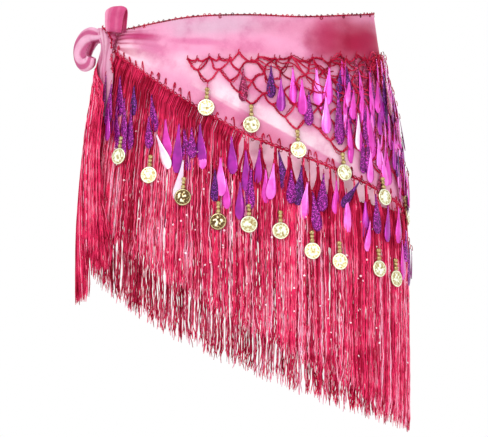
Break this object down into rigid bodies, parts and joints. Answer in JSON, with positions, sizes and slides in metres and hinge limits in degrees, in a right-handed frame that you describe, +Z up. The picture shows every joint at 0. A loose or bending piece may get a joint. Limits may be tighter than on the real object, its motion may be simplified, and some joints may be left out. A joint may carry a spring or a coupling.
{
  "type": "belly dance hip scarf",
  "caption": "Triangular chiffon hip scarf tied at one side, with crocheted net, coins and long fringe, shaped round empty hips.",
  "frame": {"origin": "middle of the waist opening, where the wearer's hips hold the scarf up", "axes": "+Z up, -Y towards the wearer's front, +X towards the hip where the scarf's point hangs, which is the viewer's right; the knot is at the -X hip"},
  "size_m": [0.3756, 0.2557, 0.4651],
  "materials": {
    "chiffon": "matte, sheer, dyed in pinks",
    "crochet_thread": "matte twisted thread",
    "fringe_thread": "slightly glossy crinkled thread",
    "gold_coin": "plated, embossed"
  },
  "bodies": {
    "root": {"bow_loop_side": "chiffon", "bow_loop_upper": "chiffon", "fringe_back_knot": "fringe_thread", "fringe_back_middle": "fringe_thread", "fringe_back_point": "fringe_thread", "fringe_front_knot": "fringe_thread", "fringe_front_middle": "fringe_thread", "fringe_front_point": "fringe_thread", "fringe_tail_back": "fringe_thread", "fringe_tail_front": "fringe_thread", "hem_coin_back_01": "gold_coin", "hem_coin_back_02": "gold_coin", "hem_coin_back_03": "gold_coin", "hem_coin_back_04": "gold_coin", "hem_coin_back_05": "gold_coin", "hem_coin_back_06": "gold_coin", "hem_coin_back_07": "gold_coin", "hem_coin_back_08": "gold_coin", "hem_coin_back_09": "gold_coin", "hem_coin_front_01": "gold_coin", "hem_coin_front_02": "gold_coin", "hem_coin_front_03": "gold_coin", "hem_coin_front_04": "gold_coin", "hem_coin_front_05": "gold_coin", "hem_coin_front_06": "gold_coin", "hem_coin_front_07": "gold_coin", "hem_coin_front_08": "gold_coin", "hem_coin_front_09": "gold_coin", "hem_coin_front_10": "gold_coin", "hem_edging_back": "crochet_thread", "hem_edging_front": "crochet_thread", "knot": "chiffon", "net_back": "crochet_thread", "net_coin_back_01": "gold_coin", "net_coin_back_02": "gold_coin", "net_coin_back_03": "gold_coin", "net_coin_back_04": "gold_coin", "net_coin_back_05": "gold_coin", "net_coin_back_06": "gold_coin", "net_coin_front_01": "gold_coin", "net_coin_front_02": "gold_coin", "net_coin_front_03": "gold_coin", "net_coin_front_04": "gold_coin", "net_coin_front_05": "gold_coin", "net_coin_front_06": "gold_coin", "net_front": "crochet_thread", "tail_back": "chiffon", "tail_front": "chiffon", "waist_edging_back": "crochet_thread", "waist_edging_front": "crochet_thread", "wrap_back": "chiffon", "wrap_front": "chiffon"}
  },
  "joints": []
}
